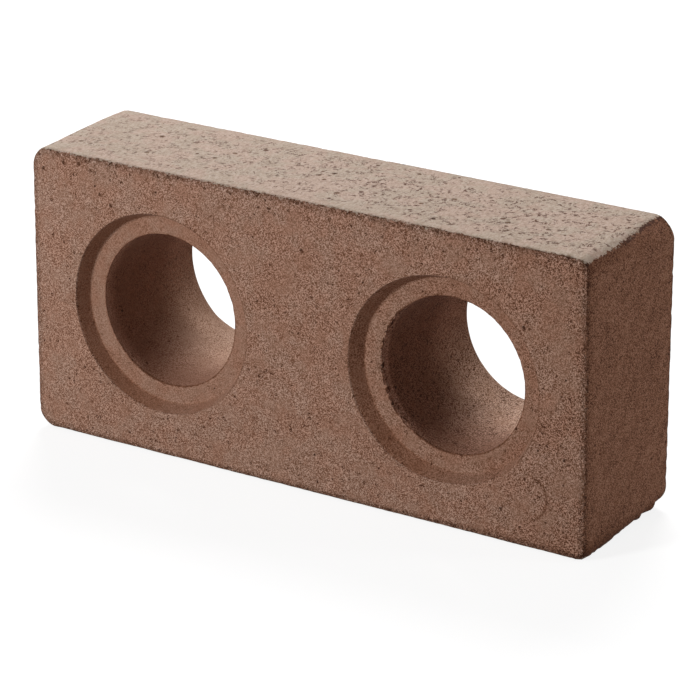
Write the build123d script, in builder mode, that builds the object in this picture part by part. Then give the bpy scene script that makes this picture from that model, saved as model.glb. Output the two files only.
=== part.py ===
# Interlocking compressed earth block, stored standing on one long narrow side.
# X runs along the length, Y along the pressing direction, Z is up.
# The recessed bed faces -Y, and the bed with the raised collars faces +Y.
# The origin is at the middle of the face that the block rests on. Lengths are millimetres.
import os

from build123d import *

# Pressed slab
length = 250.0
width = 117.0
thickness = 62.5
corner_radius = 8.5
arris_radius = 1.2

# Joint between the ends of two blocks in a course, half of it on each block
end_joint = 6.0

# Two straight round holes through the slab
hole_radius = 30.5
hole_rim_radius = 0.8
hole_back_rim_radius = 1.5

# Conical recess round each hole, in the bed that is laid downward
ledge_width = 7.3
recess_wall_run = 2.5
recess_depth = 6.3
recess_foot_fillet = 1.8
recess_rim_radius = 0.8

# Conical collar round each hole, which seats in the recess of the next block
collar_height = 5.7
collar_side_clearance = 0.8
collar_rim_radius = 1.0
collar_foot_fillet = 0.8

# Blocks lap by half their length, so the holes are half a course module apart
hole_spacing = (length + end_joint) / 2

# Heights and radii that follow from the sizes above
recessed_bed_y = -thickness / 2
collared_bed_y = thickness / 2
ledge_y = recessed_bed_y + recess_depth
collar_top_y = collared_bed_y + collar_height
recess_foot_radius = hole_radius + ledge_width
recess_radius = recess_foot_radius + recess_wall_run
wall_slope = recess_wall_run / recess_depth
collar_foot_radius = recess_radius - collar_side_clearance
collar_top_radius = collar_foot_radius - wall_slope * collar_height


def circles_at(height, radius):
    """The round edges of the unfinished block that have one radius and lie at one height."""
    near = 0.01
    circles = block.edges().filter_by(GeomType.CIRCLE)
    level = circles.filter_by_position(Axis.Y, height - near, height + near)
    return level.filter_by(lambda edge: abs(edge.radius - radius) < near)


with BuildPart() as block:
    # The slab takes its outline from the mould, and its arrises are worn round
    with BuildSketch(Plane.XZ.offset(-collared_bed_y)):
        with Locations((0, width / 2)):
            RectangleRounded(length, width, corner_radius)
    extrude(amount=thickness)
    fillet(block.faces().filter_by(Axis.Y).edges(), arris_radius)

    for side in (-1, 1):
        hole_axis = Axis((side * hole_spacing / 2, 0, width / 2), (0, 1, 0))
        half_section = Plane(origin=hole_axis.position, x_dir=(1, 0, 0), z_dir=(0, 0, 1))

        # The collar stands on its bed, and its flank has the slope of the recess wall
        with BuildSketch(half_section):
            with BuildLine():
                Polyline(
                    (0, 0),
                    (collar_foot_radius, 0),
                    (collar_foot_radius, collared_bed_y),
                    (collar_top_radius, collar_top_y),
                    (0, collar_top_y),
                    close=True,
                )
            make_face()
        revolve(axis=hole_axis)

        # The mould's punch leaves the recess, its ledge and the hole in one stroke
        with BuildSketch(half_section) as punch:
            with BuildLine():
                Polyline(
                    (0, recessed_bed_y),
                    (recess_radius, recessed_bed_y),
                    (recess_foot_radius, ledge_y),
                    (hole_radius, ledge_y),
                    (hole_radius, collar_top_y),
                    (0, collar_top_y),
                    close=True,
                )
            make_face()
            recess_foot = punch.vertices().sort_by_distance((recess_foot_radius, ledge_y))[0]
            fillet(recess_foot, recess_foot_fillet)
        revolve(axis=hole_axis, mode=Mode.SUBTRACT)

    fillet(circles_at(recessed_bed_y, recess_radius), recess_rim_radius)
    fillet(circles_at(ledge_y, hole_radius), hole_rim_radius)
    fillet(circles_at(collar_top_y, hole_radius), hole_back_rim_radius)
    fillet(circles_at(collar_top_y, collar_top_radius), collar_rim_radius)
    fillet(circles_at(collared_bed_y, collar_foot_radius), collar_foot_fillet)

block.part.label = "block"
os.makedirs("parts", exist_ok=True)
export_step(block.part, "parts/block.step")
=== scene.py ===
# Looks of the interlocking compressed earth block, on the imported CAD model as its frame.
# X runs along the length, Y from the recessed bed to the collared bed, and Z is up.
# Lengths on the block are millimetres. The floor, the lights and the camera are in metres.
import math

import bmesh
import bpy
import numpy as np
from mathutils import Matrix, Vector, noise


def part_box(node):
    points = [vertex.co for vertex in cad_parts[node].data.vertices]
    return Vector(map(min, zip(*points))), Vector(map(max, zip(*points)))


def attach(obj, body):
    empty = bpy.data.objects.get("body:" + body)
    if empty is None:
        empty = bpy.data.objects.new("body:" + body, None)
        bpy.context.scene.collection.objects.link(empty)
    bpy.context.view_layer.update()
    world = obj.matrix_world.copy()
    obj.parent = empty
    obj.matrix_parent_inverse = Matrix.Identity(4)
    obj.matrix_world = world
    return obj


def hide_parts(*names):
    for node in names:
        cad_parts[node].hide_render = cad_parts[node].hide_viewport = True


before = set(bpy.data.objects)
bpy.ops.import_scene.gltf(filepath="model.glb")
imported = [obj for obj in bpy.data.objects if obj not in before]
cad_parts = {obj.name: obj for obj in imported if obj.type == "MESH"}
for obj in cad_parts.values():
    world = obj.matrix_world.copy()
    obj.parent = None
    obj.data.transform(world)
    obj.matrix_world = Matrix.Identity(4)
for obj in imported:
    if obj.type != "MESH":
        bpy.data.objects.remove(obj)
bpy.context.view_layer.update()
MM = 0.001

# Slab
block_low, block_high = (np.array(corner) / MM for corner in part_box("block"))
length = block_high[0] - block_low[0]
width = block_high[2] - block_low[2]
half_length = length / 2
mid_z = width / 2
corner_radius = 8.5
arris_radius = 1.2
collar_height = 5.7
front_y = block_low[1]
collar_top_y = block_high[1]
back_y = collar_top_y - collar_height

# Holes
hole_x = 64.0
hole_radius = 30.5
hole_rim_radius = 0.35
hole_back_rim_radius = 1.5

# Recesses
recess_foot_radius = 37.8
recess_radius = 40.3
recess_depth = 6.3
recess_foot_fillet = 0.6
recess_rim_radius = 0.5
ledge_y = front_y + recess_depth
wall_slope = (recess_radius - recess_foot_radius) / recess_depth

# Collars
collar_foot_radius = 39.5
collar_top_radius = collar_foot_radius - wall_slope * collar_height
collar_rim_radius = 1.0
collar_foot_fillet = 0.8

# Distance between points along the outline, and the number of steps across each surface
outline_step = 1.32
bore_steps = 26
ledge_steps = 6
recess_wall_steps = 5
bed_steps = 17
side_steps = 44
back_bed_steps = 10
collar_steps = 5
arris_steps = 4

# Rows over each rounding of a hole, of the ledge's inner rim and of a collar
hole_round_rows = 5
ledge_round_rows = 3
collar_round_rows = 4

# Angle of the recess wall and the collar flank to the holes' axis, and how far a fillet
# between such a slope and a flat face reaches, for each millimetre of its radius
slope_angle = math.degrees(math.atan(wall_slope))
fillet_reach = math.tan(math.radians(90 - slope_angle) / 2)


def outline():
    """Half the block's outline: its points, their inward directions and the number of outer ones.

    It runs along the foot, up the end and back along the top. The points that then go down
    the middle of the block, where the other half follows, have no inward direction.
    """
    points, inward = [], []

    def add(point, direction):
        points.append(point)
        inward.append(direction)

    run = half_length - corner_radius
    climb = width - 2 * corner_radius
    run_count = round(run / outline_step)
    climb_count = round(climb / outline_step)
    arc_count = round(corner_radius * math.pi / 2 / outline_step)
    middle_count = round(width / outline_step)
    turns = [math.pi / 2 * i / arc_count for i in range(arc_count)]

    for i in range(run_count):
        add((run * i / run_count, 0), (0, 1))
    for a in turns:
        add((run + corner_radius * math.sin(a), corner_radius * (1 - math.cos(a))),
            (-math.sin(a), math.cos(a)))
    for i in range(climb_count):
        add((half_length, corner_radius + climb * i / climb_count), (-1, 0))
    for a in turns:
        add((run + corner_radius * math.cos(a), width - corner_radius * (1 - math.sin(a))),
            (-math.cos(a), -math.sin(a)))
    for i in range(run_count + 1):
        add((run * (1 - i / run_count), width), (0, -1))
    outer = len(points)
    for i in range(1, middle_count):
        add((0, width * (1 - i / middle_count)), (0, 0))
    return np.array(points, float), np.array(inward, float), outer


edge, edge_inward, outer_count = outline()
hole_centre = np.array((hole_x, mid_z))
spokes = edge - hole_centre
spokes /= np.linalg.norm(spokes, axis=1)[:, None]


def ring(radius, y):
    """Round row of points about the hole's axis, one on each spoke."""
    return np.c_[hole_centre + spokes * radius, np.full(len(edge), y)]


def slab_row(depth, y):
    """Row of points along the outline moved inward. The middle line only gets shorter."""
    moved = edge + edge_inward * depth
    middle = edge[outer_count:, 1] - mid_z
    moved[outer_count:, 1] = mid_z + middle * (mid_z - depth) / mid_z
    return np.c_[moved, np.full(len(edge), y)]


def arc_rows(centre_radius, centre_y, size, start, stop, count):
    """Rings over a rounded rim, between two angles in the section of the hole."""
    angles = np.radians(np.linspace(start, stop, count))
    return [ring(centre_radius + size * math.cos(a), centre_y + size * math.sin(a)) for a in angles]


def straight_rows(start, stop, steps):
    """Rows between two rows, without the first and the last."""
    return [start + (stop - start) * i / steps for i in range(1, steps)]


def hole_rows():
    """Rings of the bore, the ledge and the recess wall, from the back of the bore to the bed."""
    rows = arc_rows(hole_radius + hole_back_rim_radius, collar_top_y - hole_back_rim_radius,
                    hole_back_rim_radius, 90, 180, hole_round_rows)
    rows += straight_rows(rows[-1], ring(hole_radius, ledge_y + hole_rim_radius), bore_steps)
    rows += arc_rows(hole_radius + hole_rim_radius, ledge_y + hole_rim_radius,
                     hole_rim_radius, 180, 270, ledge_round_rows)
    foot = arc_rows(recess_foot_radius - recess_foot_fillet * fillet_reach,
                    ledge_y - recess_foot_fillet, recess_foot_fillet,
                    90, slope_angle, hole_round_rows)
    rim = arc_rows(recess_radius + recess_rim_radius * fillet_reach,
                   front_y + recess_rim_radius, recess_rim_radius,
                   180 + slope_angle, 270, hole_round_rows)
    rows += straight_rows(rows[-1], foot[0], ledge_steps) + foot
    return rows + straight_rows(foot[-1], rim[0], recess_wall_steps) + rim


def collar_rows():
    """Rings of the collar, from the bed to the back of the bore."""
    foot = arc_rows(collar_foot_radius + collar_foot_fillet * fillet_reach,
                    back_y + collar_foot_fillet, collar_foot_fillet,
                    270, 180 + slope_angle, collar_round_rows)
    rim = arc_rows(collar_top_radius - collar_rim_radius * fillet_reach,
                   collar_top_y - collar_rim_radius, collar_rim_radius,
                   slope_angle, 90, collar_round_rows)
    rows = foot + straight_rows(foot[-1], rim[0], collar_steps) + rim
    bore = ring(hole_radius + hole_back_rim_radius, collar_top_y)
    return rows + straight_rows(rows[-1], bore, collar_steps)


def arris_rows(bed_y, inward):
    """Rows over the arris of a bed, to the side. Inward is 1 or -1, along Y into the slab."""
    angles = np.radians(np.linspace(0, 90, arris_steps + 1)[1:])
    return [slab_row(arris_radius * (1 - math.sin(a)),
                     bed_y + inward * arris_radius * (1 - math.cos(a))) for a in angles]


def half_block():
    """Vertices and faces of the half at +X."""
    bed_edge = slab_row(arris_radius, front_y)
    front = hole_rows()
    front += straight_rows(front[-1], bed_edge, bed_steps) + [bed_edge]
    collar = collar_rows()
    back = [slab_row(arris_radius, back_y)]
    back += straight_rows(back[0], collar[0], back_bed_steps) + collar
    side = arris_rows(front_y, 1)
    side_back = arris_rows(back_y, -1)[::-1]
    side += straight_rows(side[-1], side_back[0], side_steps) + side_back
    vertices = np.concatenate(front + back + [row[:outer_count] for row in side])[:, [0, 2, 1]]

    count = len(edge)
    front_id = np.arange(len(front) * count).reshape(len(front), count)
    back_id = front_id.size + np.arange(len(back) * count).reshape(len(back), count)
    side_id = np.arange(len(side) * outer_count).reshape(len(side), outer_count)
    side_id += front_id.size + back_id.size
    faces = []

    def stitch(rows, closed):
        for a, b in zip(rows, rows[1:]):
            for j in range(len(a) if closed else len(a) - 1):
                k = (j + 1) % len(a)
                faces.append((a[j], a[k], b[k], b[j]))

    stitch(list(front_id), closed=True)
    stitch([front_id[-1][:outer_count], *side_id, back_id[0][:outer_count]], closed=False)
    stitch([*back_id, front_id[0]], closed=True)
    return vertices, np.array(faces)


# Both halves are welded at the middle of the block
half_vertices, half_faces = half_block()
mesh = bpy.data.meshes.new("earth_block")
mesh.from_pydata(
    np.concatenate([half_vertices, half_vertices * (-1, 1, 1)]).tolist(), [],
    np.concatenate([half_faces, half_faces[:, ::-1] + len(half_vertices)]).tolist(),
)
grid = bmesh.new()
grid.from_mesh(mesh)
bmesh.ops.remove_doubles(grid, verts=grid.verts, dist=0.02)
bmesh.ops.recalc_face_normals(grid, faces=grid.faces)
grid.to_mesh(mesh)
grid.free()
mesh.update()

# The surface as it was cast, before any wear
cast = np.empty(len(mesh.vertices) * 3)
mesh.vertices.foreach_get("co", cast)
cast = cast.reshape(-1, 3)
normals = np.empty(len(mesh.vertices) * 3)
mesh.vertex_normals.foreach_get("vector", normals)
normals = normals.reshape(-1, 3)
x, y, z = cast.T


def field(size, seed, octaves=1):
    """Smooth noise, about -1 to 1, at every vertex."""
    p = cast / size + np.array((17.3, 5.9, 31.7)) * seed
    total, strength = np.zeros(len(p)), 1.0
    for _ in range(octaves):
        total += strength * np.array([noise.noise(Vector(q)) for q in p])
        p, strength = p * 2.03 + 11.1, strength * 0.5
    return total


def lumps(size, seed, octaves=1, lift=0.0):
    """The upper part of a noise, and 0 elsewhere."""
    return np.maximum(field(size, seed, octaves) + lift, 0)


def rise(value, low, high):
    """Smooth step from 0 at the low value to 1 at the high one."""
    t = np.clip((value - low) / (high - low), 0, 1)
    return t * t * (3 - 2 * t)


# Places on the cast surface: round the nearer hole, past the start of the outline's corners,
# inside the outline, between the beds, and beside an arris
hole_distance = np.hypot(np.abs(x) - hole_x, z - mid_z)
spoke_angle = np.degrees(np.arctan2(z - mid_z, np.abs(x) - hole_x)) % 360
in_hole = hole_distance < recess_radius + 1.5
past_x = np.abs(x) - (half_length - corner_radius)
past_z = np.abs(z - mid_z) - (mid_z - corner_radius)
corner_x = np.maximum(past_x, 0)
corner_z = np.maximum(past_z, 0)
reach = np.hypot(corner_x, corner_z)
outline_depth = corner_radius - np.where(reach > 0, reach, np.maximum(past_x, past_z))
on_wall = (outline_depth < arris_radius) & ~in_hole
across = (y - front_y) / (back_y - front_y)
far = across.clip(0, 1)
bed_depth = np.minimum(y - front_y, back_y - y)
arris_nearness = np.where(in_hole, 0, 1 - rise(np.maximum(outline_depth, bed_depth), 0.3, 4.5))
arris_nearness *= np.where((z > width - 6) & (y > 0), 0.35, 1.0)
arris_nearness *= 1 - 0.5 * rise(-x, half_length - 12, half_length - 4)
crumb = lumps(2.6, 3, 2, 0.05)
fine_crumb = lumps(1.7, 7, 1, 0.05)


def uneven_skin():
    """Depth of slow waves and small hollows all over the block."""
    return 0.09 * (1 + field(16, 1, 2)) + 0.10 * lumps(3.4, 2, 2)


def crumbled_arrises():
    """Depth of the crumbled arrises, which are rounded rather than crumbled at the foot."""
    foot = 1 - rise(z, 1.0, 7.0)
    crumbled = 0.10 + 0.45 * (crumb + fine_crumb) * (1 - 0.8 * foot)
    rounded = 0.5 * foot * (1 - rise(outline_depth + bed_depth, 0.4, 3.5))
    return arris_nearness * (crumbled + rounded)


def worn_front_top():
    """Depth of the wear along the top of the recessed bed, towards the right end."""
    place = rise(x, 55, 105) * rise(z, width - 6, width - 1) * (1 - rise(across, 0.0, 0.1))
    return place * (0.25 + 1.1 * lumps(3.8, 4, 2))


def broken_right_corners():
    """Depth of the rough corners of the right end, which are broken most at the collared bed."""
    place = rise(corner_x, 1.0, 5.0) * rise(corner_z, 0.5, 4.0) * on_wall * (x > 0)
    return place * (0.55 * lumps(2.4, 5, 2, 0.1) + 0.6 * rise(across, 0.7, 1.0))


def chipped_hole_rims():
    """Depth of the chips round the ledges' inner rims, with a torn stretch on the right one.

    The torn stretch is on the side towards the middle of the block.
    """
    place = 1 - rise(np.abs(hole_distance - hole_radius - 0.3), 0.2, 2.4)
    place = place * (1 - rise(np.abs(y - ledge_y - 0.4), 0.6, 3.0))
    torn = (x > 0) * rise(spoke_angle, 135, 155) * (1 - rise(spoke_angle, 215, 240))
    return place * (0.10 + 0.15 * crumb + torn * (0.15 + 1.3 * lumps(2.3, 6, 2)))


def worn_back_mouth():
    """Depth of the wear at the back of the left hole, on its outer side."""
    turned = np.abs((spoke_angle - 345 + 180) % 360 - 180)
    place = (x < 0) * rise(y, 14, 34) * (hole_distance < hole_radius + 1.8)
    return 1.3 * place * (1 - rise(turned, 25, 75))


def mould_lean():
    """Shift of the top, which falls to the back, and of the ends, which lean in at the front."""
    shift = np.zeros_like(cast)
    at_left = 1 - rise(x, -half_length, 12 - half_length)
    at_right = rise(x, half_length - 12, half_length)
    shift[:, 0] = (0.5 + 0.6 * z / width) * (1 - far) * at_left
    shift[:, 0] -= (0.2 + 1.3 * z / width) * (1 - far) * at_right
    shift[:, 2] = -1.5 * far * rise(z, 96, 113)
    return shift


def crisp_corners():
    """Shift that gives three of the outline's corners a radius that varies between the beds.

    Each of them is crisper at one bed, and stays inside the square outline of the mould.
    """
    radius = np.select(
        [(x < 0) & (z > mid_z), (x > 0) & (z > mid_z), (x > 0) & (z < mid_z)],
        [corner_radius - 7.0 * rise(far, -0.15, 0.9),
         5.5 + 3.0 * rise(far, 0.0, 0.7),
         3.5 + 5.0 * rise(far, 0.1, 1.0)],
        corner_radius)
    in_corner = (corner_x > 0) & (corner_z > 0)
    along = np.stack([corner_x, corner_z]) / np.where(in_corner, reach, 1)
    offset = corner_radius - radius
    middle = along.sum(axis=0) * offset
    on_arc = middle + np.sqrt(np.maximum(middle**2 - 2 * offset**2 + radius**2, 0))
    on_flat = corner_radius / np.where(in_corner, along.max(axis=0), 1)
    flat = corner_radius * along.min(axis=0) <= offset * along.max(axis=0)
    stretch = np.where(flat, on_flat, on_arc) / corner_radius
    outward = np.where(in_corner, reach * (stretch - 1), 0)
    shift = np.zeros_like(cast)
    shift[:, 0] = outward * along[0] * np.sign(x)
    shift[:, 2] = outward * along[1] * np.sign(z - mid_z)
    return shift


def widened_recess():
    """Shift of the right recess's left side, worn wider at the bed than at the ledge."""
    sunk = ((y - front_y) / recess_depth).clip(0, 1)
    outward = (1.5 - 1.1 * sunk) * (x > 0) * (y < ledge_y + 0.5)
    outward *= rise(spoke_angle, 100, 160) * (1 - rise(spoke_angle, 235, 280))
    outward *= rise(hole_distance, 33, recess_foot_radius - 0.5)
    outward *= 1 - rise(hole_distance, recess_radius + 0.8, 47)
    shift = np.zeros_like(cast)
    shift[:, 0] = outward * np.cos(np.radians(spoke_angle))
    shift[:, 2] = outward * np.sin(np.radians(spoke_angle))
    return shift


def foot_crumbs():
    """Shift that makes the crumbs which stick to the rounded foot of the right end."""
    shift = np.zeros_like(cast)
    stuck = ((21.0, 3.2, 1.7, 1.7), (12.5, 2.0, 1.2, 1.0), (26.5, 6.0, 1.3, 0.8))
    for y_at, z_at, size, height in stuck:
        crumb_shape = np.exp(-((y - y_at) ** 2 + (z - z_at) ** 2) / (2 * size**2))
        shift[:, 0] += height * crumb_shape * (x > half_length - 9)
    return shift


# Wear goes into the block, less at the collared bed of the right half
depth = uneven_skin() + crumbled_arrises() + worn_front_top() + broken_right_corners()
depth += chipped_hole_rims() + worn_back_mouth()
depth = np.maximum(depth, 0) * (1 - 0.5 * (across > 0.97) * (x > 0))
worn = cast - normals * depth[:, None]
worn += mould_lean() + crisp_corners() + widened_recess() + foot_crumbs()
box_margin = 0.04
worn[:, 0] = worn[:, 0].clip(box_margin - half_length, half_length - box_margin)
mesh.vertices.foreach_set("co", (worn * MM).ravel())

# The material is placed by the cast surface, and by the depth inside the outline up to a limit
outline_limit = 12.0
mesh.attributes.new("cast", "FLOAT_VECTOR", "POINT").data.foreach_set("vector", cast.ravel())
skin_depth = mesh.attributes.new("from_outline", "FLOAT", "POINT")
skin_depth.data.foreach_set("value", np.minimum(outline_depth, outline_limit))
mesh.shade_smooth()
mesh.update()
block = bpy.data.objects.new("earth_block", mesh)
bpy.context.collection.objects.link(block)


class Nodes:
    """Short calls for the nodes of one tree."""

    def __init__(self, tree):
        self.tree = tree
        tree.nodes.clear()

    def add(self, kind, **settings):
        node = self.tree.nodes.new(kind)
        for key, value in settings.items():
            setattr(node, key, value)
        return node

    def put(self, socket, value):
        if isinstance(value, bpy.types.NodeSocket):
            self.tree.links.new(value, socket)
        else:
            socket.default_value = value

    def math(self, operation, *values, clamp=False):
        node = self.add("ShaderNodeMath", operation=operation, use_clamp=clamp)
        for socket, value in zip(node.inputs, values):
            self.put(socket, value)
        return node.outputs[0]

    def vector(self, operation, *values, output=0):
        node = self.add("ShaderNodeVectorMath", operation=operation)
        for socket, value in zip(node.inputs, values):
            self.put(socket, value)
        return node.outputs[output]

    def joined(self, *values):
        node = self.add("ShaderNodeCombineXYZ")
        for socket, value in zip(node.inputs, values):
            self.put(socket, value)
        return node.outputs[0]

    def plus(self, *terms):
        total = terms[0]
        for term in terms[1:]:
            total = self.math("ADD", total, term)
        return total

    def minus(self, value, taken):
        return self.math("SUBTRACT", value, taken)

    def times(self, *factors):
        total = factors[0]
        for factor in factors[1:]:
            total = self.math("MULTIPLY", total, factor)
        return total

    def times_plus(self, value, factor, term):
        return self.math("MULTIPLY_ADD", value, factor, term)

    def weighted(self, *pairs):
        """Sum of values that each come with a weight."""
        return self.plus(*(self.times(value, weight) for value, weight in pairs))

    def gain(self, mask, change):
        """1 outside a mask, and 1 and the change inside it."""
        return self.times_plus(mask, change, 1.0)

    def span(self, value, low, high, start=0.0, stop=1.0, smooth=True):
        """From start, where the value is low, to stop, where it is high."""
        kind = "SMOOTHSTEP" if smooth else "LINEAR"
        node = self.add("ShaderNodeMapRange", interpolation_type=kind)
        given = {"Value": value, "From Min": low, "From Max": high, "To Min": start, "To Max": stop}
        for name, setting in given.items():
            self.put(node.inputs[name], setting)
        return node.outputs[0]

    def line(self, value, far_off, close):
        """1 where a value is close to 0, and 0 where it is far off."""
        return self.span(self.math("ABSOLUTE", value), far_off, close)

    def placed(self, vector, size, stretch, shift):
        """Texture places with one unit for each feature, moved by an offset of their own."""
        scale = tuple(1 / (size * s) for s in stretch)
        return self.vector("MULTIPLY_ADD", vector, scale, (shift, shift * 0.7, shift * 1.3))

    def noise(self, vector, size, detail=2.0, rough=0.5, stretch=(1, 1, 1), shift=0.0):
        """Noise about 0, mostly from -1 to 1, with features of that size."""
        node = self.add("ShaderNodeTexNoise", noise_dimensions="3D")
        self.put(node.inputs["Vector"], self.placed(vector, size, stretch, shift))
        self.put(node.inputs["Scale"], 1.0)
        self.put(node.inputs["Detail"], detail)
        self.put(node.inputs["Roughness"], rough)
        return self.times_plus(node.outputs[0], 4.0, -2.0)

    def cells(self, vector, size, stretch=(1, 1, 1), shift=0.0):
        """Small grains side by side, each with one value from -1 to 1."""
        cell = self.vector("FLOOR", self.placed(vector, size, stretch, shift))
        node = self.add("ShaderNodeTexWhiteNoise", noise_dimensions="3D")
        self.put(node.inputs["Vector"], cell)
        return self.times_plus(node.outputs["Value"], 2.0, -1.0)

    def dots(self, vector, size, share, stretch=(1, 1, 1), shift=0.0):
        """1 in that share of the small grains, and 0 in the others."""
        return self.math("LESS_THAN", self.cells(vector, size, stretch, shift), 2 * share - 1)

    def spots(self, vector, size, share, reach, stretch=(1, 1, 1), shift=0.0):
        """1 inside round spots in that share of the cells, with their reach in cell sizes."""
        node = self.add("ShaderNodeTexVoronoi", feature="F1", voronoi_dimensions="3D")
        self.put(node.inputs["Vector"], self.placed(vector, size, stretch, shift))
        self.put(node.inputs["Scale"], 1.0)
        pick = self.add("ShaderNodeSeparateColor")
        self.put(pick.inputs[0], node.outputs["Color"])
        grown = self.times_plus(pick.outputs[1], reach * 0.6, reach * 0.4)
        inside = self.span(self.math("DIVIDE", node.outputs["Distance"], grown), 1.0, 0.6)
        return self.times(inside, self.math("LESS_THAN", pick.outputs[0], share))

    def blend(self, factor, a, b):
        node = self.add("ShaderNodeMix", data_type="RGBA")
        self.put(node.inputs["Factor"], factor)
        self.put(node.inputs[6], a)
        self.put(node.inputs[7], b)
        return node.outputs[2]

    def toned(self, colour, gain):
        """A colour made darker and redder, or lighter and greyer, by a gain, as this earth looks in
        shade and in light.
        """
        powers = self.joined(*(self.math("POWER", gain, power) for power in (0.80, 1.02, 1.23)))
        return self.vector("MULTIPLY", colour, powers)


bed_colour = (0.303, 0.158, 0.105, 1)
bed_colour_dull = (0.290, 0.162, 0.111, 1)
# The ends' colour is partly their own and partly painted shade, darker and redder than the beds'
end_colour_and_shade = (0.292, 0.135, 0.079, 1)
narrow_colour = (0.415, 0.318, 0.248, 1)
narrow_colour_pink = (0.428, 0.308, 0.242, 1)
crease_colour = (0.105, 0.044, 0.025, 1)
# The bores' colour is painted shade, darker and redder than the beds'; their lit colour is painted
# light from the back opening
bore_shade_colour = (0.285, 0.136, 0.084, 1)
bore_lit_colour = (0.376, 0.227, 0.156, 1)

pressed_earth = bpy.data.materials.new("pressed_earth")
pressed_earth.use_nodes = True
n = Nodes(pressed_earth.node_tree)
at = n.add("ShaderNodeAttribute", attribute_name="cast").outputs["Vector"]
from_outline = n.add("ShaderNodeAttribute", attribute_name="from_outline").outputs["Fac"]
parts = n.add("ShaderNodeSeparateXYZ")
n.put(parts.inputs[0], at)
px, py, pz = parts.outputs


def by_half(left, right):
    """One value on the left half of the block and another on the right half."""
    return n.span(px, -1.0, 1.0, left, right)


def along_block(left, right, smooth=False):
    """From one value at the left end to another at the right end."""
    return n.span(px, -half_length, half_length, left, right, smooth=smooth)


# Distances on the block: from the middle of its height, from the nearer hole's axis, to the
# right of that axis, from the nearer bed, and from the arris, towards the side
far_x = n.math("ABSOLUTE", px)
from_mid_up = n.minus(pz, mid_z)
from_hole = n.vector("LENGTH", n.joined(n.minus(far_x, hole_x), 0.0, from_mid_up), output=1)
from_side = n.times_plus(n.math("SIGN", px), -hole_x, px)
from_bed = n.math("MINIMUM", n.minus(py, front_y), n.minus(back_y, py))
past_arris = n.minus(from_bed, from_outline)

# Places moved a little at random, so that no grain has straight sides, and turned off the axes
swirl = n.add("ShaderNodeTexNoise", noise_dimensions="3D")
n.put(swirl.inputs["Vector"], at)
n.put(swirl.inputs["Scale"], 1.0)
n.put(swirl.inputs["Detail"], 0.0)
jittered = n.vector("MULTIPLY_ADD", swirl.outputs["Color"], (0.9, 0.9, 0.9), at)
tumble = n.add("ShaderNodeVectorRotate", rotation_type="EULER_XYZ")
n.put(tumble.inputs["Vector"], jittered)
n.put(tumble.inputs["Rotation"], (0.5, 0.7, 0.4))
tumbled = tumble.outputs[0]

# Irregularity of every boundary and line
ragged = n.noise(at, 1.6, 2, 0.6, shift=3.0)
mid_cells = n.cells(tumbled, 0.80, shift=21.0)
frayed = n.times_plus(mid_cells, 0.85, ragged)

# The side walls begin at the arris. The pale skin of the two narrow ones goes part of the way
# round the corners, and at the collared bed farther round the left ones than the right ones
outside_recess = n.span(from_hole, recess_radius + 1.0, recess_radius + 2.0)
wall = n.times(outside_recess, n.span(n.plus(frayed, past_arris), -0.20, 0.0))
corner_rise = n.minus(n.math("ABSOLUTE", from_mid_up), mid_z - corner_radius)
corner_run = n.minus(far_x, half_length - corner_radius)
wrap = n.plus(n.times(n.span(py, front_y + 8, back_y), by_half(2.2, -0.80)),
              n.span(py, front_y, front_y + 8, 1.10, 1.05))
turned = n.minus(n.times(corner_rise, wrap), n.math("MAXIMUM", corner_run, 0.0))
side_up = n.span(n.times_plus(frayed, 0.9, turned), -0.25, 0.25)
narrow = n.times(wall, side_up)
end = n.times(wall, n.minus(1.0, side_up))
bed = n.minus(1.0, wall)

# Parts of the holes
bore = n.span(n.times_plus(ragged, 0.15, from_hole), hole_radius + 0.7, hole_radius + 0.2)
in_recess = n.times(n.span(py, front_y + 0.6, front_y + 1.2),
                    n.span(from_hole, recess_radius + 2, recess_radius + 1))
recess_wall = n.times(n.span(from_hole, recess_foot_radius - 0.4, recess_foot_radius),
                      n.span(from_hole, recess_radius + 0.4, recess_radius),
                      n.span(py, front_y + 0.3, front_y + 0.8), n.span(py, 0.0, -5.0))
ledge = n.math("SUBTRACT", in_recess, n.math("MAXIMUM", recess_wall, bore), clamp=True)

# Sandy grain with single dark grains, in calmer and rougher patches
grain = n.times_plus(n.cells(tumbled, 0.46), 0.22, n.noise(tumbled, 0.45, 0.0))
grain = n.span(grain, -0.50, 0.50, -1.0, 1.0, smooth=False)
dark_grains = n.dots(tumbled, 1.10, 0.035, shift=33.0)
grains = n.weighted((grain, 0.60), (mid_cells, 0.05), (dark_grains, -0.42))
calm = n.span(n.noise(at, 9, 2, 0.5, shift=53.0), -0.60, 0.10, 0.60, 1.0)
clouds = n.noise(at, 10, 3, 0.6, shift=11.0)
wide = n.noise(at, 42, 2, 0.5, shift=19.0)

# Pits anywhere, and dark dots in a broken band below the top of the beds
pits = n.spots(at, 3.6, 0.08, 0.22, shift=13.0)
dotted = n.times(bed, n.span(n.times_plus(clouds, 2.5, pz), width - 11, width - 4),
                 n.span(clouds, -0.5, 0.2))
edge_dots = n.times(n.dots(tumbled, 1.3, 0.08, shift=15.0), dotted)

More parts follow.
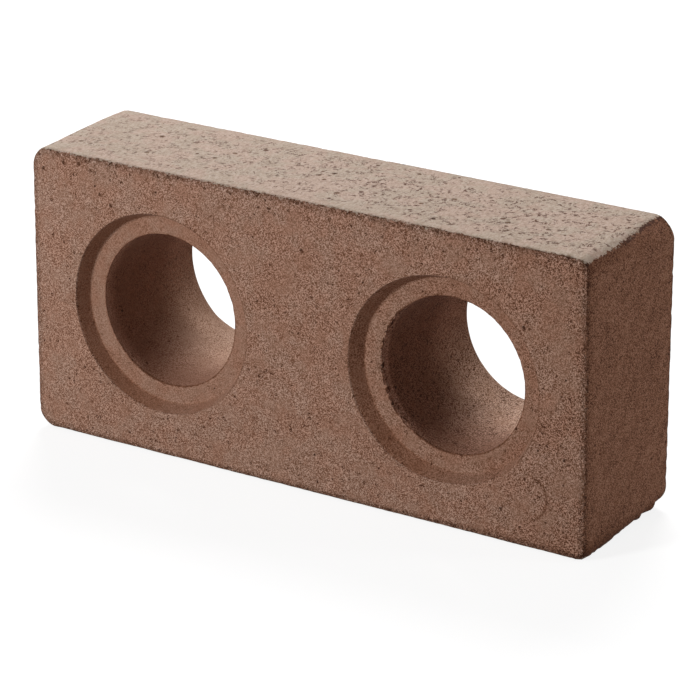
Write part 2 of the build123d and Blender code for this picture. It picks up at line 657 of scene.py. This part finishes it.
# Large single pits: X, Z and radius on the recessed bed, and X, Y and radius on the top
bed_pits = (
    (-86.1, 98.8, 1.0), (-108.2, 112.3, 1.2), (-101.0, 113.1, 1.0), (-91.3, 102.3, 0.9),
    (115.5, 38.5, 0.9), (89.2, 13.5, 0.9), (1.9, 97.1, 1.1), (-118.5, 108.5, 1.1),
    (97.5, 86.0, 1.0),
)
top_pits = (
    (-111.2, -16.0, 1.3), (-89.2, 7.4, 1.5), (-81.4, -13.5, 1.2), (-55.8, -4.4, 1.3),
    (-52.9, 4.9, 1.2), (-10.7, -0.4, 1.3), (-5.8, -4.4, 1.1), (-6.9, 5.0, 1.2),
    (7.5, -15.9, 1.4), (19.8, 22.3, 1.2), (47.3, 2.8, 1.4), (40.1, -8.8, 1.2),
    (53.6, -22.2, 1.3), (78.1, -10.4, 1.4), (94.4, -9.3, 1.2),
)
places = [((x_at, front_y, z_at), radius) for x_at, z_at, radius in bed_pits]
places += [((x_at, y_at, width), radius) for x_at, y_at, radius in top_pits]
single_pits = 0.0
for place, radius in places:
    away = n.times_plus(ragged, 0.35, n.vector("DISTANCE", at, place, output=1))
    single_pits = n.math("MAXIMUM", single_pits, n.span(away, radius, radius * 0.4))

# Narrow sides: grain drawn out along the length, and creases, crumbs and holes in busy patches
patches = n.noise(at, 11, 2, 0.55, shift=29.0)
streaks = n.noise(at, 1.8, 2, 0.6, stretch=(1.1, 1.5, 1), shift=23.0)
narrow_grain = n.cells(jittered, 0.5, stretch=(1.0, 2.4, 1.5), shift=27.0)
busy = n.times(n.span(n.noise(at, 7.0, 2, 0.6, shift=41.0), -0.35, 0.20, 0.20, 1.0),
               n.span(from_bed, 2.0, 8.0, 0.15, 1.0), along_block(0.75, 1.20, smooth=True), narrow)
crease_line = n.noise(at, 2.5, 3, 0.80, stretch=(1.7, 1.2, 1), shift=31.0)
creases = n.times(n.line(crease_line, 0.15, 0.09), n.span(streaks, 0.05, 0.2), busy)
crumbs = n.times(n.dots(jittered, 0.75, 0.05, stretch=(1.3, 1.9, 1), shift=35.0), busy)
holes = n.times(n.spots(at, 5.5, 0.26, 0.19, stretch=(1.2, 1.4, 1), shift=37.0), narrow)

# Ends: mottling that climbs towards the back at 45 degrees
slope = 0.7071
climbing = n.joined(px, n.times_plus(pz, slope, n.times(py, slope)),
                    n.times_plus(pz, slope, n.times(py, -slope)))
mottle = n.noise(climbing, 5.0, 3, 0.6, stretch=(1, 2.6, 1), shift=43.0)

# Lightness of each kind of skin, with the light falling off along the block
grain_share = n.times(calm, n.gain(in_recess, by_half(-0.45, -0.15)), n.gain(bore, 0.35))
bed_gain = n.plus(
    n.times(grains, grain_share),
    n.weighted((clouds, 0.11), (edge_dots, -0.65)),
    n.times_plus(wide, 0.05, along_block(1.12, 0.93)),
    n.span(px, 60.0, half_length, 0.0, -0.10),
)
end_gain = n.plus(
    n.times(grains, n.times_plus(calm, 0.3, 0.7)),
    n.times(mottle, 0.24),
    n.times_plus(wide, 0.05, 0.86),
)
narrow_gain = n.plus(
    n.weighted((narrow_grain, 0.17), (streaks, 0.03), (patches, 0.03)),
    n.times_plus(wide, 0.03, along_block(1.15, 1.08)),
)
skin_gain = n.weighted((bed_gain, bed), (end_gain, end), (narrow_gain, narrow))

# The torn stretch of the right hole's rim, on the side towards the middle of the block
sweep = n.math("ARCTAN2", from_mid_up, n.minus(hole_x, px))
torn = n.times(n.line(n.plus(sweep, 0.05), 1.05, 0.75), n.span(px, 0.0, 1.0),
               n.span(py, ledge_y + 3.0, ledge_y + 1.5))

# Soft dark bands: below the top of the beds, along their foot, on the ends beside the recessed
# bed and along the ends' foot, and painted shade on the ends beside the turn of the pale skin
under_top = n.times(bed, n.span(n.times_plus(ragged, 0.8, from_outline), 3.2, 0.8, 0.0, -0.12))
foot_height = n.span(px, 20, 105, 3.0, 5.5)
from_foot = n.math("DIVIDE", n.times_plus(ragged, 0.7, pz), foot_height)
bed_foot = n.times(bed, n.span(from_foot, 1.0, 0.45, 0.0, -0.26))
end_front = n.times(end, n.span(n.plus(ragged, py), front_y + 6, front_y + 1, 0.0, -0.16))
end_foot = n.times(end, n.span(n.plus(ragged, pz), 9.0, 2.0, 0.0, -0.35))
# Painted shade on the ends next to the pale skin's turn, where the rounded corners face up
painted_turn_shade = n.minus(n.times(wall, n.span(n.times_plus(ragged, 0.8, turned), -9.0, -0.4)), narrow)

# Thin dark lines: round the ledges' inner rims, mostly below, along the right side of the
# recesses, at the turn of the pale skin, and along the recessed bed's top
rim_line = n.times(
    n.line(n.minus(n.times_plus(frayed, 0.18, from_hole), hole_radius + 0.25), 0.50, 0.20),
    n.span(py, ledge_y + 1.6, ledge_y + 0.6),
    n.span(n.minus(n.times(from_side, 0.5), from_mid_up), 0.0, 22.0, 0.3, 1.0),
    n.minus(1.0, torn))
recess_line = n.times(
    n.line(n.minus(n.times_plus(frayed, 0.20, from_hole), recess_radius + 0.2), 0.60, 0.20),
    n.span(py, front_y + 3.0, front_y + 1.5),
    n.span(n.times_plus(from_mid_up, 0.4, from_side), 8.0, 24.0))
turn_line = n.times(
    wall, n.line(n.times_plus(frayed, 0.6, n.plus(turned, 0.5)), 1.3, 0.5),
    n.span(py, -16.0, 6.0), n.span(n.noise(at, 3.4, 2, 0.6, shift=67.0), -0.4, 0.0))
arris_line = n.times(
    n.line(n.times_plus(ragged, 0.8, n.plus(past_arris, 0.4)), 1.0, 0.35),
    n.span(py, 0.0, -5.0), n.span(pz, width - 14, width - 5),
    n.span(n.noise(at, 5.0, 2, 0.6, shift=57.0), -0.25, 0.2))

# Light and dark grains on the arrises, which are rougher towards the right end
near_arris = n.times(n.line(n.plus(past_arris, 0.6), 3.4, 0.6),
                     n.span(from_outline, outline_limit, 9.0))
glints = n.times(near_arris, bed, n.math("GREATER_THAN", mid_cells, 0.45))
arris_dots = n.times(n.dots(tumbled, 0.9, 0.24, shift=63.0), near_arris)
rougher = n.span(px, -80.0, 80.0, 0.40, 1.0)
arris_gain = n.plus(
    1.0, under_top, bed_foot, end_front, end_foot,
    n.weighted((painted_turn_shade, -0.45), (rim_line, -0.62), (recess_line, -0.40), (turn_line, -0.60),
               (glints, 0.42)),
    n.times(rougher, n.weighted((arris_line, -0.20), (arris_dots, -0.52))))


def ring_mark(x_at, z_at, radius, line_width, turn):
    """A ring on the recessed bed: its line, which is strongest towards turn, and its inside."""
    spoke = n.joined(n.minus(px, x_at), 0.0, n.times(n.minus(pz, z_at), 0.85))
    away = n.plus(n.vector("LENGTH", spoke, output=1), n.times(frayed, 0.30))
    facing = n.vector("DOT_PRODUCT", n.vector("NORMALIZE", spoke), turn, output=1)
    on_bed = n.span(py, front_y + 0.5, front_y + 0.1)
    line = n.line(n.minus(away, radius), line_width, line_width * 0.3)
    inside = n.span(away, radius, radius * 0.5)
    return (n.times(line, n.span(facing, -0.35, 0.35), on_bed),
            n.times(inside, n.span(facing, -0.2, 0.4), on_bed))


def crack():
    """A jagged crack of varying width along the torn stretch of the right hole's rim."""
    radius = n.times_plus(n.noise(at, 2.6, 3, 0.75, shift=47.0), 0.50, hole_radius + 0.45)
    crack_width = n.span(n.noise(at, 2.4, 2, 0.6, shift=49.0), -0.5, 0.7, 0.15, 0.90)
    away = n.math("DIVIDE", n.math("ABSOLUTE", n.minus(from_hole, radius)), crack_width)
    return n.times(torn, n.span(away, 1.0, 0.55))


# Marks that the press plate left on the recessed bed: a ring, and a fainter arc near the top
ring_line, ring_inside = ring_mark(101.0, 20.6, 7.3, 0.62, (1.0, 0.0, 0.0))
arc_line = ring_mark(-41.0, 110.5, 6.2, 1.3, (0.1, 0.0, -1.0))[0]

darkest = 0.12
gain = n.times(
    skin_gain, arris_gain,
    n.gain(ledge, by_half(-0.08, -0.11)),
    n.gain(pits, n.times_plus(narrow, 0.7, -0.8)),
    n.gain(single_pits, -0.75),
    n.gain(ring_line, -0.50),
    n.gain(ring_inside, 0.12),
    n.gain(arc_line, -0.16),
    n.gain(crack(), -0.86),
)
gain = n.math("MAXIMUM", gain, darkest)
# Painted shade on the lower part of each recess wall
painted_wall_foot_shade = n.times(recess_wall, n.span(from_mid_up, -10.0, -32.0))
gain = n.times(gain, n.gain(painted_wall_foot_shade, -0.13))

# Bores: painted light below and towards the back, where light comes in through the back opening,
# painted shade at the upper left, and a painted lit strip over the first millimetres on their left
# side
painted_back_light = n.times(n.span(pz, mid_z + 6, mid_z - 24), n.span(py, -22.0, 26.0))
lit_strip_end = ledge_y + 4.2
lit_strip_fade = by_half(3.5, 0.7)
painted_lit_strip = n.times(n.span(from_side, -10.0, -22.0),
                n.span(n.times_plus(ragged, 0.5, py), n.plus(lit_strip_fade, lit_strip_end),
                       n.minus(lit_strip_end, lit_strip_fade)))
shaded = n.minus(n.times(from_mid_up, 0.6), n.times(from_side, 0.8))
bore_tint = n.blend(painted_back_light, bore_shade_colour, bore_lit_colour)
bore_tint = n.toned(bore_tint, n.gain(painted_lit_strip, 0.85))
bore_tint = n.toned(bore_tint, n.span(shaded, -28.0, 28.0, 1.12, 0.74))

# Colours of the other skins. The left side of a recess wall gets the ends' colour as painted shade
bed_tint = n.blend(n.span(clouds, -0.5, 0.5), bed_colour, bed_colour_dull)
narrow_tint = n.blend(n.span(patches, -0.25, 0.25), narrow_colour, narrow_colour_pink)
for marks, strength in ((creases, 0.92), (crumbs, 0.85), (holes, 0.90)):
    narrow_tint = n.blend(n.times(marks, strength), narrow_tint, crease_colour)
# Painted shade on the left side of the recess walls, in the ends' colour
painted_wall_shade = n.times(recess_wall, n.span(from_side, 15.0, -20.0, 0.10, 0.80))
tint = n.blend(narrow, bed_tint, narrow_tint)
tint = n.blend(n.plus(painted_wall_shade, end), tint, end_colour_and_shade)
tint = n.blend(bore, tint, bore_tint)

# Heights of the fine relief, in millimetres
grain_height = n.times(0.05, n.gain(narrow, -0.55), n.gain(in_recess, -0.5))
relief = n.plus(
    n.times(grain, grain_height),
    n.times(near_arris, n.weighted((frayed, 0.14), (grain, 0.10))),
    n.weighted((n.times(crumbs, narrow), -0.20), (edge_dots, -0.20), (dark_grains, -0.05),
               (creases, -0.25), (holes, -0.45), (pits, -0.45), (single_pits, -0.6)),
)
bump = n.add("ShaderNodeBump")
bump.inputs["Strength"].default_value = 1.0
bump.inputs["Distance"].default_value = MM
n.put(bump.inputs["Height"], relief)

surface = n.add("ShaderNodeBsdfPrincipled")
n.put(surface.inputs["Base Color"], n.toned(tint, gain))
n.put(surface.inputs["Normal"], bump.outputs[0])
surface.inputs["Roughness"].default_value = 0.9
surface.inputs["Specular IOR Level"].default_value = 0.2
n.put(n.add("ShaderNodeOutputMaterial").inputs[0], surface.outputs[0])
mesh.materials.append(pressed_earth)

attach(block, "root")
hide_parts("block")


def seen_directly(nodes):
    """1 for camera, glossy and transmission rays, and 0 for the light that bounces."""
    path = nodes.add("ShaderNodeLightPath")
    seen = nodes.plus(path.outputs["Is Camera Ray"], path.outputs["Is Glossy Ray"])
    return nodes.math("ADD", seen, path.outputs["Is Transmission Ray"], clamp=True)


def two_faced(nodes, kind, bouncing, seen):
    """One shader for the light that bounces and another for what is seen directly."""
    mixed = nodes.add("ShaderNodeMixShader")
    nodes.put(mixed.inputs[0], seen_directly(nodes))
    nodes.put(mixed.inputs[1], bouncing.outputs[0])
    nodes.put(mixed.inputs[2], seen.outputs[0])
    nodes.put(nodes.add(kind).inputs[0], mixed.outputs[0])


# Pale floor, seen near white with the block's soft shadow
floor_half = 6.0
floor_drop = 0.0001
corners = ((-1, -1), (1, -1), (1, 1), (-1, 1))
floor_mesh = bpy.data.meshes.new("floor")
floor_mesh.from_pydata([(floor_half * a, floor_half * b, -floor_drop) for a, b in corners], [],
                       [(0, 1, 2, 3)])
floor = bpy.data.objects.new("floor", floor_mesh)
bpy.context.collection.objects.link(floor)
pale_floor = bpy.data.materials.new("pale_floor")
pale_floor.use_nodes = True
f = Nodes(pale_floor.node_tree)
matte = f.add("ShaderNodeBsdfDiffuse")
matte.inputs["Color"].default_value = (0.26, 0.26, 0.26, 1)
glow = f.add("ShaderNodeEmission")
glow.inputs["Color"].default_value = (1, 1, 1, 1)
glow.inputs["Strength"].default_value = 0.84
seen_floor = f.add("ShaderNodeAddShader")
f.put(seen_floor.inputs[0], matte.outputs[0])
f.put(seen_floor.inputs[1], glow.outputs[0])
bounce = f.add("ShaderNodeBsdfDiffuse")
bounce.inputs["Color"].default_value = (0.35, 0.34, 0.33, 1)
two_faced(f, "ShaderNodeOutputMaterial", bounce, seen_floor)
floor_mesh.materials.append(pale_floor)

# White surroundings that give only a little light
world = bpy.data.worlds.new("studio")
world.use_nodes = True
bpy.context.scene.world = world
w = Nodes(world.node_tree)
ambient = w.add("ShaderNodeBackground")
ambient.inputs["Color"].default_value = (1, 1, 1, 1)
ambient.inputs["Strength"].default_value = 0.18
white = w.add("ShaderNodeBackground")
white.inputs["Color"].default_value = (1, 1, 1, 1)
white.inputs["Strength"].default_value = 1.0
two_faced(w, "ShaderNodeOutputWorld", ambient, white)


def aim_at(thing, place, target):
    """Put a light or camera at a place, look at a target, and add it to the scene."""
    thing.location = place
    thing.rotation_mode = "QUATERNION"
    thing.rotation_quaternion = (Vector(target) - thing.location).to_track_quat("-Z", "Y")
    bpy.context.collection.objects.link(thing)


# Name, place, size and power of each round light
lights = (
    ("key", (-0.42, 0.84, 1.12), 0.8, 18.0),
    ("fill", (-0.735, -1.576, 0.526), 0.35, 22.5),
    ("side", (1.30, 0.55, 0.50), 0.3, 2.6),
    ("low_side", (1.45, -0.14, 0.35), 0.35, 1.6),
)
for name, place, size, power in lights:
    light = bpy.data.lights.new(name, "AREA")
    light.shape = "DISK"
    light.size = size
    light.energy = power
    aim_at(bpy.data.objects.new(name, light), place, (0, 0, 0.06))

camera_data = bpy.data.cameras.new("camera")
camera_data.lens = 183.03
camera_data.sensor_width = 36.0
camera = bpy.data.objects.new("camera", camera_data)
aim_at(camera, (0.69667, -1.06802, 0.53000), (0.00299, 0.0, 0.04820))
bpy.context.scene.camera = camera
bpy.context.scene.view_settings.view_transform = "Standard"
